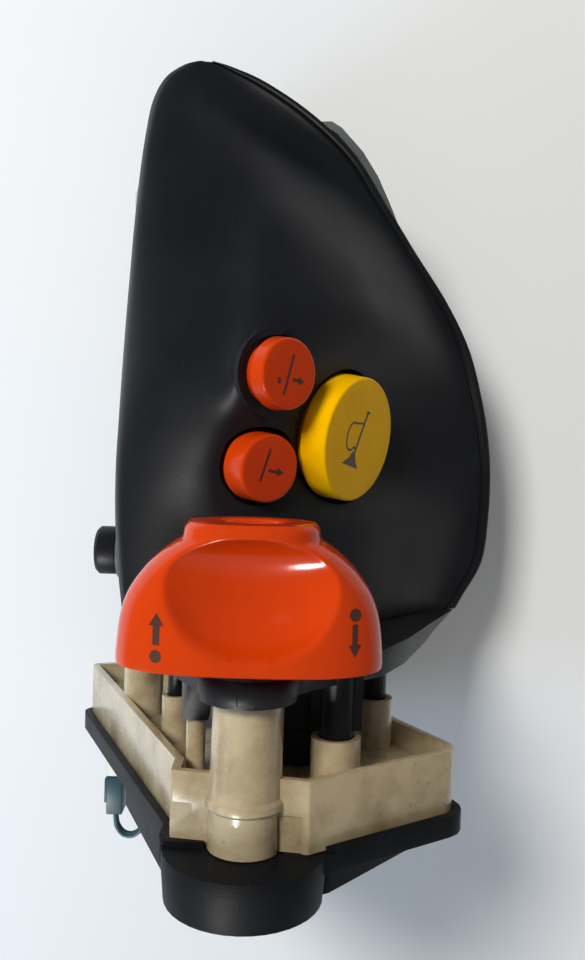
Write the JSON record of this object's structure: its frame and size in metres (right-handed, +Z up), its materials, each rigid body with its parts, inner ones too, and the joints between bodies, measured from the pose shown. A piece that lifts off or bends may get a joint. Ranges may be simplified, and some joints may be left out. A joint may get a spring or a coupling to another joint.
{
  "type": "pendant control station",
  "caption": "One-hand control head: a contoured hand shell with push buttons and a two-winged thumb rocker, standing on a beige tray housing and a dark lower casing.",
  "frame": {"origin": "flat underside of the lower casing, under the rocker's shaft axis", "axes": "+Z up along the rocker's shaft, -Y towards the user's hand, +X to the user's right"},
  "size_m": [0.1432, 0.1493, 0.2554],
  "materials": {
    "black_plastic": "satin black moulded plastic",
    "casing_plastic": "fine-textured black plastic",
    "beige_plastic": "worn beige plastic",
    "orange_red_plastic": "glossy orange-red plastic",
    "yellow_plastic": "satin yellow plastic",
    "grey_plastic": "glossy dark grey plastic",
    "white_plastic": "off-white plastic",
    "teal_plastic": "blue-green insulation",
    "rubber": "black rubber",
    "steel": "bare steel",
    "bronze": "sintered bronze",
    "board": "green circuit board",
    "magnet": "plated magnet"
  },
  "bodies": {
    "housing": {"lower_casing": "casing_plastic", "base_gasket": "rubber", "tray_housing": "beige_plastic", "control_board": "board", "driver_chip": "rubber", "board_screw_1": "steel", "board_screw_2": "steel", "sensor_board": "board", "hall_sensor": "rubber", "lower_bush": "bronze", "upper_bush": "bronze", "shaft_seal": "rubber", "return_spring": "steel", "shell_floor": "black_plastic", "floor_screw_1": "steel", "floor_screw_2": "steel", "hand_shell": "black_plastic", "rear_cover": "grey_plastic", "side_spigot": "black_plastic", "spigot_nut": "steel", "lift_switch": "rubber", "lower_switch": "rubber", "horn_switch": "rubber", "unit_plug": "black_plastic", "deck_socket": "black_plastic", "unit_lead": "rubber", "casing_screw_front": "steel", "casing_screw_left": "steel", "casing_screw_rear": "steel", "casing_screw_right": "steel", "cover_screw_1": "steel", "cover_screw_2": "steel", "cover_screw_3": "steel", "cover_screw_4": "steel", "cable_grommet": "rubber", "lead_socket": "white_plastic", "lead_connector": "teal_plastic", "lead_wire_1": "teal_plastic", "lead_wire_2": "teal_plastic"},
    "rocker": {"knob_shaft": "steel", "retaining_clip": "steel", "magnet_holder": "white_plastic", "magnet": "magnet", "butterfly_knob": "orange_red_plastic", "knob_cap": "orange_red_plastic", "knob_screw": "steel"},
    "lift": {"lift_button": "orange_red_plastic"},
    "lower": {"lower_button": "orange_red_plastic"},
    "horn": {"horn_button": "yellow_plastic"}
  },
  "joints": [
    {"name": "rocker_turn", "type": "hinge", "parent": "housing", "child": "rocker", "pos_m": [0, 0, 0.0585], "axis": [0, 0, 1], "range_deg": [-25, 25], "stiffness_Nm_per_rad": 0.25, "deforming": ["return_spring"]},
    {"name": "lift_press", "type": "slide", "parent": "housing", "child": "lift", "axis": [-0.67, 0.74, 0.06], "range_m": [0, 0.0025], "stiffness_N_per_m": 600},
    {"name": "lower_press", "type": "slide", "parent": "housing", "child": "lower", "axis": [-0.6018, 0.7923, 0.1003], "range_m": [0, 0.0025], "stiffness_N_per_m": 600},
    {"name": "horn_press", "type": "slide", "parent": "housing", "child": "horn", "axis": [-0.8098, 0.5698, 0.14], "range_m": [0, 0.0022], "stiffness_N_per_m": 900}
  ]
}
